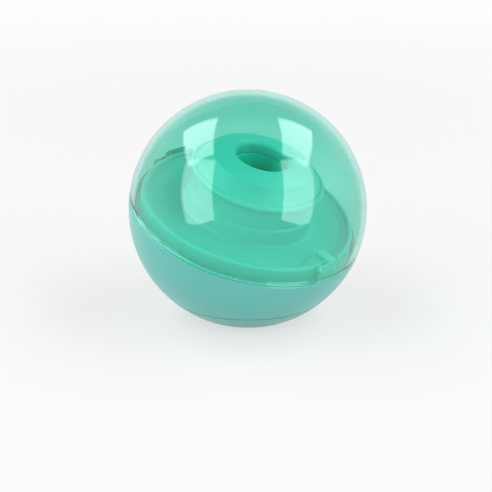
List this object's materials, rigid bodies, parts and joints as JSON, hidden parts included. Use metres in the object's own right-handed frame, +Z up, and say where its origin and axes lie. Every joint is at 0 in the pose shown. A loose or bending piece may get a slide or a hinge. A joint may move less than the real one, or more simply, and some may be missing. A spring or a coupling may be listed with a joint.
{
  "type": "pacifier sterilizer case",
  "caption": "Ball-shaped pacifier sterilizer case: clear lid hinged along a tilted parting line, dished deck with a holed tower over a UV lamp, and a twist-off battery cover.",
  "frame": {"origin": "centre of the flat foot, on the surface that the case stands on", "axes": "+Z up, -Y to the front with the finger scoop, +Y to the hinge, X along the hinge"},
  "size_m": [0.092, 0.0929, 0.0878],
  "materials": {
    "mint_satin": "satin mint green, moulded",
    "mint_gloss": "gloss mint green, moulded",
    "mint_clear": "clear mint green, polished",
    "mint_clear_tab": "clear mint green, polished",
    "reflector": "bright drawn sheet",
    "quartz": "clear quartz tube",
    "ceramic_white": "matt white, heat-proof",
    "lead_wire": "white sleeved wire",
    "board": "green solder mask",
    "dark_core": "dark ferrite and tape",
    "can_sleeve": "dark sleeve",
    "black_plastic": "black, moulded",
    "screw_steel": "plated steel",
    "white_plastic": "white, moulded",
    "cell_metal": "plain silver-grey jacket with metal ends",
    "contact_metal": "nickel-plated strip",
    "pad_rubber": "soft matt"
  },
  "bodies": {
    "base": {"base_shell": "mint_satin", "deck": "mint_gloss", "tower_cap": "mint_gloss", "teat_guard": "mint_gloss", "reflector_cup": "reflector", "uv_lamp": "quartz", "lamp_socket": "ceramic_white", "lamp_leads": "lead_wire", "circuit_board": "board", "transformer": "dark_core", "capacitors": "can_sleeve", "controller_chip": "black_plastic", "board_screws": "screw_steel", "lid_switch": "black_plastic", "switch_leads": "lead_wire", "battery_tray": "white_plastic", "tray_screws": "screw_steel", "battery_cells": "cell_metal", "contact_springs": "screw_steel", "contact_plates": "contact_metal", "hinge_pin": "screw_steel"},
    "lid": {"lid_shell": "mint_clear"},
    "latch": {"latch_tab": "mint_clear_tab"},
    "plunger": {"switch_plunger": "mint_gloss"},
    "cover": {"battery_cover": "mint_satin", "foot_pad": "pad_rubber"}
  },
  "joints": [
    {"name": "lid_hinge", "type": "hinge", "parent": "base", "child": "lid", "pos_m": [0, 0.04471, 0.05402], "axis": [-1, 0, 0], "range_deg": [0, 95]},
    {"name": "latch_flex", "type": "hinge", "parent": "lid", "child": "latch", "pos_m": [0, -0.04123, 0.02996], "axis": [-1, 0, 0], "range_deg": [0, 3.5], "stiffness_Nm_per_rad": 0.05},
    {"name": "plunger_press", "type": "slide", "parent": "base", "child": "plunger", "axis": [0, -0.3338, 0.9426], "range_m": [-0.0012, 0], "stiffness_N_per_m": 400, "springref_m": 0.0003},
    {"name": "cover_twist", "type": "hinge", "parent": "base", "child": "cover", "pos_m": [0, 0, 0], "axis": [0, 0, 1], "range_deg": [0, 18]}
  ]
}
